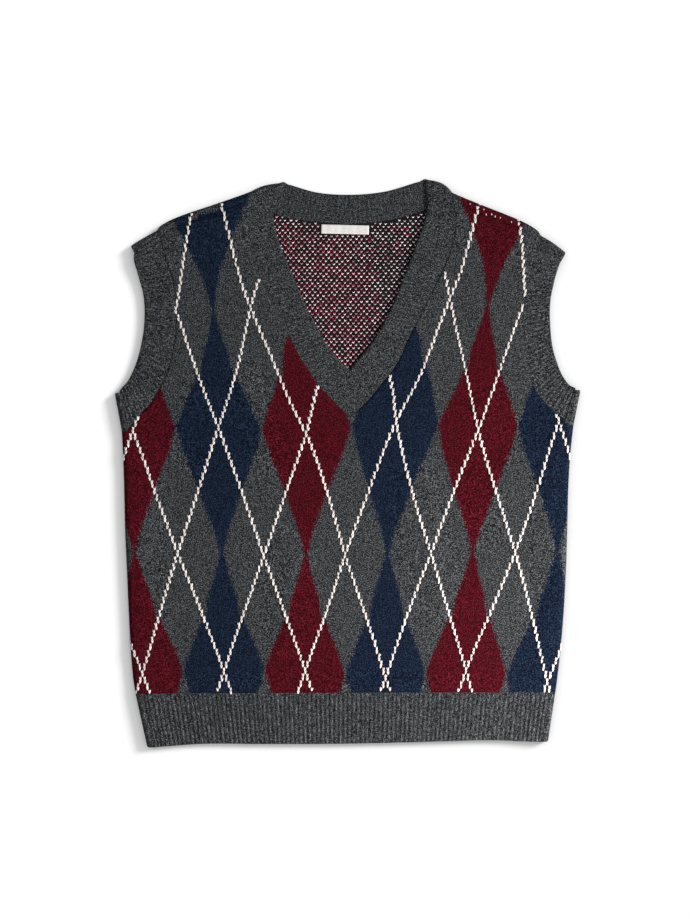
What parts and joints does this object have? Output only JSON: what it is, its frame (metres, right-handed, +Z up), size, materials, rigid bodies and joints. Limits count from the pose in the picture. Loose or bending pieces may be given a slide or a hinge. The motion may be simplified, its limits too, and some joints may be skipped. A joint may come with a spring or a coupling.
{
  "type": "knitted sweater vest",
  "caption": "V-neck sleeveless knitted pullover laid flat, with argyle panels, a ribbed hem, ribbed armhole bands and a mitred ribbed neckband, all open.",
  "frame": {"origin": "on the surface the vest lies on, under the middle of its bounding box", "axes": "+X to the right as seen from above, +Y from the hem to the neck, +Z up out of the vest's front"},
  "size_m": [0.493, 0.601, 0.0098],
  "materials": {
    "argyle_knit": "matt woollen stocking stitch in heathered charcoal, burgundy and navy diamonds with a cream line",
    "rib_knit": "matt woollen one-by-one rib in heathered charcoal",
    "label_weave": "bare off-white woven tape with a soft satin face"
  },
  "bodies": {
    "root": {"front_panel": "argyle_knit", "back_panel": "argyle_knit", "hem_front": "rib_knit", "hem_back": "rib_knit", "armband_left": "rib_knit", "armband_right": "rib_knit", "neckband": "rib_knit", "label": "label_weave"}
  },
  "joints": []
}
